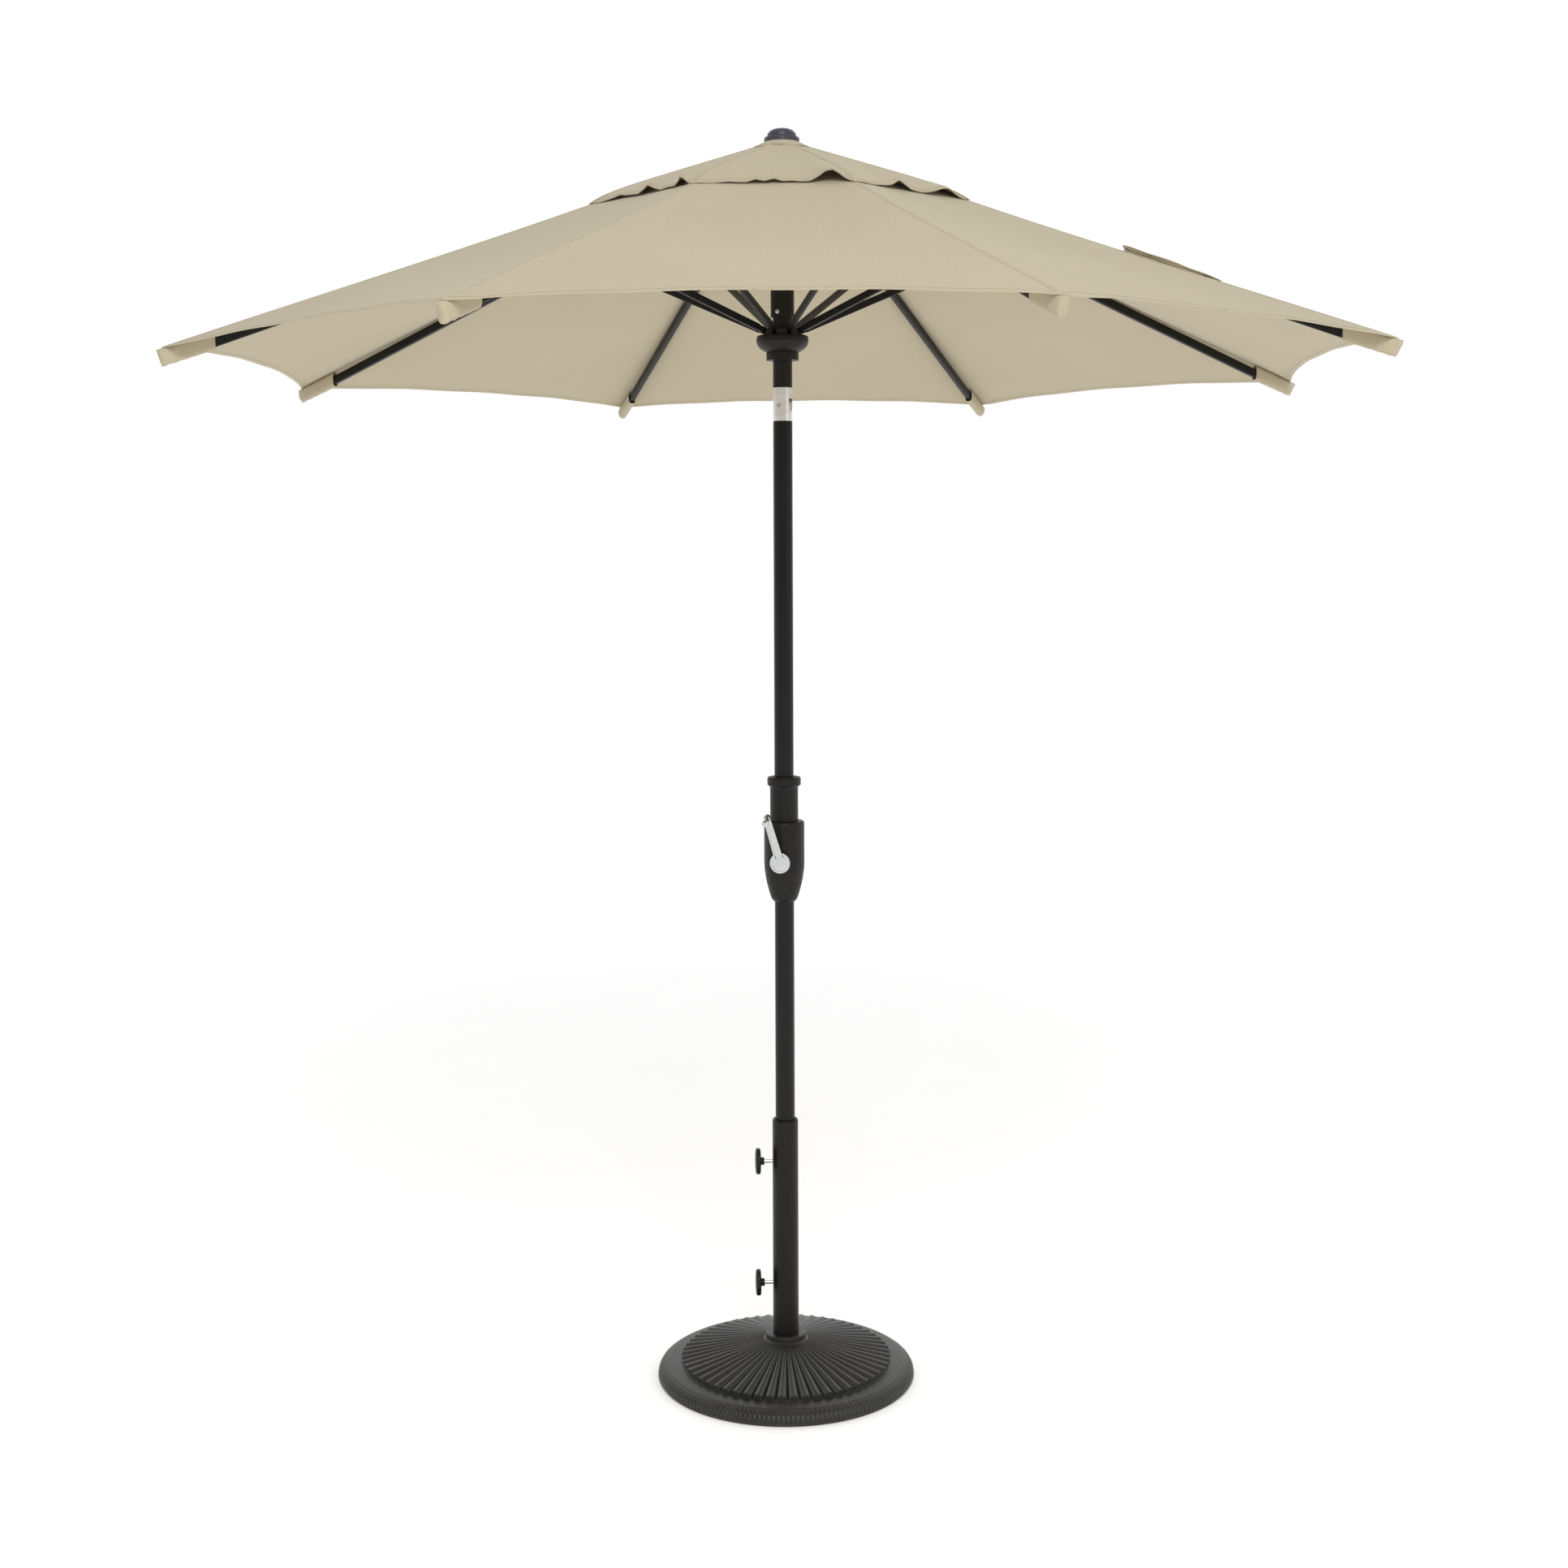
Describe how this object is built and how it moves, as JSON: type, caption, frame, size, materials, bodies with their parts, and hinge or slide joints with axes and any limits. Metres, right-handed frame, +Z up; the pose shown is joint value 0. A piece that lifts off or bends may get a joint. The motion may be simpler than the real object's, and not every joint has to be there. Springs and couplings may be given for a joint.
{
  "type": "patio umbrella with base",
  "caption": "Octagonal market umbrella with vented cloth canopy, crank lift and collar tilt, on a two-part pole in a fluted round cast base with clamp knobs.",
  "frame": {"origin": "on the pole's axis at floor level, under the centre of the base", "axes": "+Z up along the pole; ribs lie 22.5 degrees off the X and Y axes; the crank faces -Y and the base knobs -X"},
  "size_m": [2.1786, 2.1786, 2.465],
  "materials": {
    "cast_black": "black powder coat over cast iron, fine grain",
    "coated_steel": "satin black-bronze powder coat",
    "black_plastic": "satin moulded plastic",
    "silver": "satin machined aluminium",
    "chrome": "polished",
    "steel": "zinc-plated",
    "cloth": "woven polyester, beige",
    "cap_plastic": "satin, dark blue-grey",
    "rubber": "matt"
  },
  "bodies": {
    "base": {"base_plate": "cast_black", "base_pad": "rubber", "stem_tube": "coated_steel", "stem_bolt": "steel", "stem_liner": "black_plastic"},
    "upper_stud": {"upper_knob_stud": "chrome"},
    "upper_grip": {"upper_knob_grip": "black_plastic"},
    "lower_stud": {"lower_knob_stud": "chrome"},
    "lower_grip": {"lower_knob_grip": "black_plastic"},
    "pole_foot": {"pole_end_plug": "black_plastic"},
    "pole": {"lower_pole": "coated_steel", "crank_housing": "black_plastic", "housing_screws": "steel", "tilt_knuckle_lower": "silver", "tilt_pin": "steel"},
    "collar": {"tilt_collar": "black_plastic"},
    "crank": {"crank_handle": "chrome", "crank_spool": "steel"},
    "crank_grip": {"crank_knob": "chrome"},
    "head": {"tilt_knuckle_upper": "silver", "upper_pole": "coated_steel", "pulley_sleeve": "coated_steel", "top_hub": "black_plastic", "crown_cap": "cloth", "finial": "cap_plastic"},
    "pulley": {"pulley": "black_plastic"},
    "runner": {"runner": "black_plastic"},
    "rib_1": {"rib_1": "coated_steel"},
    "rib_2": {"rib_2": "coated_steel"},
    "rib_3": {"rib_3": "coated_steel"},
    "rib_4": {"rib_4": "coated_steel"},
    "rib_5": {"rib_5": "coated_steel"},
    "rib_6": {"rib_6": "coated_steel"},
    "rib_7": {"rib_7": "coated_steel"},
    "rib_8": {"rib_8": "coated_steel"},
    "strut_1": {"strut_1": "coated_steel"},
    "strut_2": {"strut_2": "coated_steel"},
    "strut_3": {"strut_3": "coated_steel"},
    "strut_4": {"strut_4": "coated_steel"},
    "strut_5": {"strut_5": "coated_steel"},
    "strut_6": {"strut_6": "coated_steel"},
    "strut_7": {"strut_7": "coated_steel"},
    "strut_8": {"strut_8": "coated_steel"},
    "gore_1a": {"gore_1a": "cloth"},
    "gore_1b": {"gore_1b": "cloth"},
    "gore_2a": {"gore_2a": "cloth"},
    "gore_2b": {"gore_2b": "cloth"},
    "gore_3a": {"gore_3a": "cloth"},
    "gore_3b": {"gore_3b": "cloth"},
    "gore_4a": {"gore_4a": "cloth"},
    "gore_4b": {"gore_4b": "cloth"},
    "gore_5a": {"gore_5a": "cloth"},
    "gore_5b": {"gore_5b": "cloth"},
    "gore_6a": {"gore_6a": "cloth"},
    "gore_6b": {"gore_6b": "cloth"},
    "gore_7a": {"gore_7a": "cloth"},
    "gore_7b": {"gore_7b": "cloth"},
    "gore_8a": {"gore_8a": "cloth"},
    "gore_8b": {"gore_8b": "cloth"}
  },
  "joints": [
    {"name": "pole_lift", "type": "slide", "parent": "base", "child": "pole_foot", "axis": [0, 0, 1], "range_m": [0, 0.43]},
    {"name": "pole_swivel", "type": "hinge", "parent": "pole_foot", "child": "pole", "pos_m": [0, 0, 0.1], "axis": [0, 0, 1], "continuous": true},
    {"name": "upper_stud_screw", "type": "slide", "parent": "base", "child": "upper_stud", "axis": [-0.9945, -0.1045, 0], "range_m": [0, 0.00375]},
    {"name": "upper_knob_turn", "type": "hinge", "parent": "upper_stud", "child": "upper_grip", "pos_m": [-0.04973, -0.00523, 0.4205], "axis": [-0.9945, -0.1045, 0], "range_deg": [0, 1080]},
    {"name": "lower_stud_screw", "type": "slide", "parent": "base", "child": "lower_stud", "axis": [-0.9945, -0.1045, 0], "range_m": [0, 0.00375]},
    {"name": "lower_knob_turn", "type": "hinge", "parent": "lower_stud", "child": "lower_grip", "pos_m": [-0.04973, -0.00523, 0.181], "axis": [-0.9945, -0.1045, 0], "range_deg": [0, 1080]},
    {"name": "tilt", "type": "hinge", "parent": "pole", "child": "head", "pos_m": [0, 0, 1.9156], "axis": [0.3827, 0.9239, 0], "range_deg": [0, 30]},
    {"name": "collar_turn", "type": "hinge", "parent": "pole", "child": "collar", "pos_m": [0, 0, 1.14], "axis": [0, 0, 1], "range_deg": [0, 90]},
    {"name": "fold", "type": "hinge", "parent": "head", "child": "rib_1", "pos_m": [0.02772, 0.01148, 2.422], "axis": [0.3827, -0.9239, 0], "range_deg": [-66, 0], "deforming": ["gore_1a", "gore_1b", "gore_2a", "gore_2b", "gore_3a", "gore_3b", "gore_4a", "gore_4b", "gore_5a", "gore_5b", "gore_6a", "gore_6b", "gore_7a", "gore_7b", "gore_8a", "gore_8b"]},
    {"name": "strut_1_pivot", "type": "hinge", "parent": "rib_1", "child": "strut_1", "pos_m": [0.4126, 0.17091, 2.2412], "axis": [0.3827, -0.9239, 0], "range_deg": [0, 132]},
    {"name": "pleat_1a", "type": "hinge", "parent": "rib_1", "child": "gore_1a", "pos_m": [0.55433, 0.22961, 2.2106], "axis": [0.8602, 0.3563, -0.365], "range_deg": [0, 70]},
    {"name": "pleat_1b", "type": "hinge", "parent": "rib_1", "child": "gore_1b", "pos_m": [0.55433, 0.22961, 2.2106], "axis": [0.8602, 0.3563, -0.365], "range_deg": [-70, 0]},
    {"name": "rib_2_fold", "type": "hinge", "parent": "head", "child": "rib_2", "pos_m": [0.01148, 0.02772, 2.422], "axis": [0.9239, -0.3827, 0], "range_deg": [-66, 0]},
    {"name": "strut_2_pivot", "type": "hinge", "parent": "rib_2", "child": "strut_2", "pos_m": [0.17091, 0.4126, 2.2412], "axis": [0.9239, -0.3827, 0], "range_deg": [0, 132]},
    {"name": "pleat_2a", "type": "hinge", "parent": "rib_2", "child": "gore_2a", "pos_m": [0.22961, 0.55433, 2.2106], "axis": [0.3563, 0.8602, -0.365], "range_deg": [0, 70]},
    {"name": "pleat_2b", "type": "hinge", "parent": "rib_2", "child": "gore_2b", "pos_m": [0.22961, 0.55433, 2.2106], "axis": [0.3563, 0.8602, -0.365], "range_deg": [-70, 0]},
    {"name": "rib_3_fold", "type": "hinge", "parent": "head", "child": "rib_3", "pos_m": [-0.01148, 0.02772, 2.422], "axis": [0.9239, 0.3827, 0], "range_deg": [-66, 0]},
    {"name": "strut_3_pivot", "type": "hinge", "parent": "rib_3", "child": "strut_3", "pos_m": [-0.17091, 0.4126, 2.2412], "axis": [0.9239, 0.3827, 0], "range_deg": [0, 132]},
    {"name": "pleat_3a", "type": "hinge", "parent": "rib_3", "child": "gore_3a", "pos_m": [-0.22961, 0.55433, 2.2106], "axis": [-0.3563, 0.8602, -0.365], "range_deg": [0, 70]},
    {"name": "pleat_3b", "type": "hinge", "parent": "rib_3", "child": "gore_3b", "pos_m": [-0.22961, 0.55433, 2.2106], "axis": [-0.3563, 0.8602, -0.365], "range_deg": [-70, 0]},
    {"name": "rib_4_fold", "type": "hinge", "parent": "head", "child": "rib_4", "pos_m": [-0.02772, 0.01148, 2.422], "axis": [0.3827, 0.9239, 0], "range_deg": [-66, 0]},
    {"name": "strut_4_pivot", "type": "hinge", "parent": "rib_4", "child": "strut_4", "pos_m": [-0.4126, 0.17091, 2.2412], "axis": [0.3827, 0.9239, 0], "range_deg": [0, 132]},
    {"name": "pleat_4a", "type": "hinge", "parent": "rib_4", "child": "gore_4a", "pos_m": [-0.55433, 0.22961, 2.2106], "axis": [-0.8602, 0.3563, -0.365], "range_deg": [0, 70]},
    {"name": "pleat_4b", "type": "hinge", "parent": "rib_4", "child": "gore_4b", "pos_m": [-0.55433, 0.22961, 2.2106], "axis": [-0.8602, 0.3563, -0.365], "range_deg": [-70, 0]},
    {"name": "rib_5_fold", "type": "hinge", "parent": "head", "child": "rib_5", "pos_m": [-0.02772, -0.01148, 2.422], "axis": [-0.3827, 0.9239, 0], "range_deg": [-66, 0]},
    {"name": "strut_5_pivot", "type": "hinge", "parent": "rib_5", "child": "strut_5", "pos_m": [-0.4126, -0.17091, 2.2412], "axis": [-0.3827, 0.9239, 0], "range_deg": [0, 132]},
    {"name": "pleat_5a", "type": "hinge", "parent": "rib_5", "child": "gore_5a", "pos_m": [-0.55433, -0.22961, 2.2106], "axis": [-0.8602, -0.3563, -0.365], "range_deg": [0, 70]},
    {"name": "pleat_5b", "type": "hinge", "parent": "rib_5", "child": "gore_5b", "pos_m": [-0.55433, -0.22961, 2.2106], "axis": [-0.8602, -0.3563, -0.365], "range_deg": [-70, 0]},
    {"name": "rib_6_fold", "type": "hinge", "parent": "head", "child": "rib_6", "pos_m": [-0.01148, -0.02772, 2.422], "axis": [-0.9239, 0.3827, 0], "range_deg": [-66, 0]},
    {"name": "strut_6_pivot", "type": "hinge", "parent": "rib_6", "child": "strut_6", "pos_m": [-0.17091, -0.4126, 2.2412], "axis": [-0.9239, 0.3827, 0], "range_deg": [0, 132]},
    {"name": "pleat_6a", "type": "hinge", "parent": "rib_6", "child": "gore_6a", "pos_m": [-0.22961, -0.55433, 2.2106], "axis": [-0.3563, -0.8602, -0.365], "range_deg": [0, 70]},
    {"name": "pleat_6b", "type": "hinge", "parent": "rib_6", "child": "gore_6b", "pos_m": [-0.22961, -0.55433, 2.2106], "axis": [-0.3563, -0.8602, -0.365], "range_deg": [-70, 0]},
    {"name": "rib_7_fold", "type": "hinge", "parent": "head", "child": "rib_7", "pos_m": [0.01148, -0.02772, 2.422], "axis": [-0.9239, -0.3827, 0], "range_deg": [-66, 0]},
    {"name": "strut_7_pivot", "type": "hinge", "parent": "rib_7", "child": "strut_7", "pos_m": [0.17091, -0.4126, 2.2412], "axis": [-0.9239, -0.3827, 0], "range_deg": [0, 132]},
    {"name": "pleat_7a", "type": "hinge", "parent": "rib_7", "child": "gore_7a", "pos_m": [0.22961, -0.55433, 2.2106], "axis": [0.3563, -0.8602, -0.365], "range_deg": [0, 70]},
    {"name": "pleat_7b", "type": "hinge", "parent": "rib_7", "child": "gore_7b", "pos_m": [0.22961, -0.55433, 2.2106], "axis": [0.3563, -0.8602, -0.365], "range_deg": [-70, 0]},
    {"name": "rib_8_fold", "type": "hinge", "parent": "head", "child": "rib_8", "pos_m": [0.02772, -0.01148, 2.422], "axis": [-0.3827, -0.9239, 0], "range_deg": [-66, 0]},
    {"name": "strut_8_pivot", "type": "hinge", "parent": "rib_8", "child": "strut_8", "pos_m": [0.4126, -0.17091, 2.2412], "axis": [-0.3827, -0.9239, 0], "range_deg": [0, 132]},
    {"name": "pleat_8a", "type": "hinge", "parent": "rib_8", "child": "gore_8a", "pos_m": [0.55433, -0.22961, 2.2106], "axis": [0.8602, -0.3563, -0.365], "range_deg": [0, 70]},
    {"name": "pleat_8b", "type": "hinge", "parent": "rib_8", "child": "gore_8b", "pos_m": [0.55433, -0.22961, 2.2106], "axis": [0.8602, -0.3563, -0.365], "range_deg": [-70, 0]},
    {"name": "runner_level", "type": "hinge", "parent": "strut_1", "child": "runner", "pos_m": [0.02772, 0.01148, 2.0604], "axis": [0.3827, -0.9239, 0], "range_deg": [-66, 0]},
    {"name": "crank_turn", "type": "hinge", "parent": "pole", "child": "crank", "pos_m": [0, 0, 1.017], "axis": [-0.1323, -0.9912, 0], "range_deg": [-2613, 0]},
    {"name": "pulley_turn", "type": "hinge", "parent": "head", "child": "pulley", "pos_m": [0, 0, 2.3], "axis": [0.3827, 0.9239, 0], "range_deg": [-2613, 0]},
    {"name": "crank_grip_spin", "type": "hinge", "parent": "crank", "child": "crank_grip", "pos_m": [-0.0308, -0.06522, 1.10754], "axis": [-0.0719, -0.9693, -0.2351], "continuous": true}
  ],
  "couplings": [
    {"joint": "upper_knob_turn", "follows": "upper_stud_screw", "rad_per_m": 5026.5},
    {"joint": "lower_knob_turn", "follows": "lower_stud_screw", "rad_per_m": 5026.5},
    {"joint": "collar_turn", "follows": "tilt", "ratio": 3},
    {"joint": "strut_1_pivot", "follows": "fold", "ratio": -2},
    {"joint": "pleat_1a", "follows": "fold", "ratio": -1.0606},
    {"joint": "pleat_1b", "follows": "fold", "ratio": 1.0606},
    {"joint": "rib_2_fold", "follows": "fold", "ratio": 1},
    {"joint": "strut_2_pivot", "follows": "fold", "ratio": -2},
    {"joint": "pleat_2a", "follows": "fold", "ratio": -1.0606},
    {"joint": "pleat_2b", "follows": "fold", "ratio": 1.0606},
    {"joint": "rib_3_fold", "follows": "fold", "ratio": 1},
    {"joint": "strut_3_pivot", "follows": "fold", "ratio": -2},
    {"joint": "pleat_3a", "follows": "fold", "ratio": -1.0606},
    {"joint": "pleat_3b", "follows": "fold", "ratio": 1.0606},
    {"joint": "rib_4_fold", "follows": "fold", "ratio": 1},
    {"joint": "strut_4_pivot", "follows": "fold", "ratio": -2},
    {"joint": "pleat_4a", "follows": "fold", "ratio": -1.0606},
    {"joint": "pleat_4b", "follows": "fold", "ratio": 1.0606},
    {"joint": "rib_5_fold", "follows": "fold", "ratio": 1},
    {"joint": "strut_5_pivot", "follows": "fold", "ratio": -2},
    {"joint": "pleat_5a", "follows": "fold", "ratio": -1.0606},
    {"joint": "pleat_5b", "follows": "fold", "ratio": 1.0606},
    {"joint": "rib_6_fold", "follows": "fold", "ratio": 1},
    {"joint": "strut_6_pivot", "follows": "fold", "ratio": -2},
    {"joint": "pleat_6a", "follows": "fold", "ratio": -1.0606},
    {"joint": "pleat_6b", "follows": "fold", "ratio": 1.0606},
    {"joint": "rib_7_fold", "follows": "fold", "ratio": 1},
    {"joint": "strut_7_pivot", "follows": "fold", "ratio": -2},
    {"joint": "pleat_7a", "follows": "fold", "ratio": -1.0606},
    {"joint": "pleat_7b", "follows": "fold", "ratio": 1.0606},
    {"joint": "rib_8_fold", "follows": "fold", "ratio": 1},
    {"joint": "strut_8_pivot", "follows": "fold", "ratio": -2},
    {"joint": "pleat_8a", "follows": "fold", "ratio": -1.0606},
    {"joint": "pleat_8b", "follows": "fold", "ratio": 1.0606},
    {"joint": "runner_level", "follows": "fold", "ratio": 1},
    {"joint": "crank_turn", "follows": "fold", "ratio": 39.572},
    {"joint": "pulley_turn", "follows": "fold", "ratio": 39.572}
  ]
}
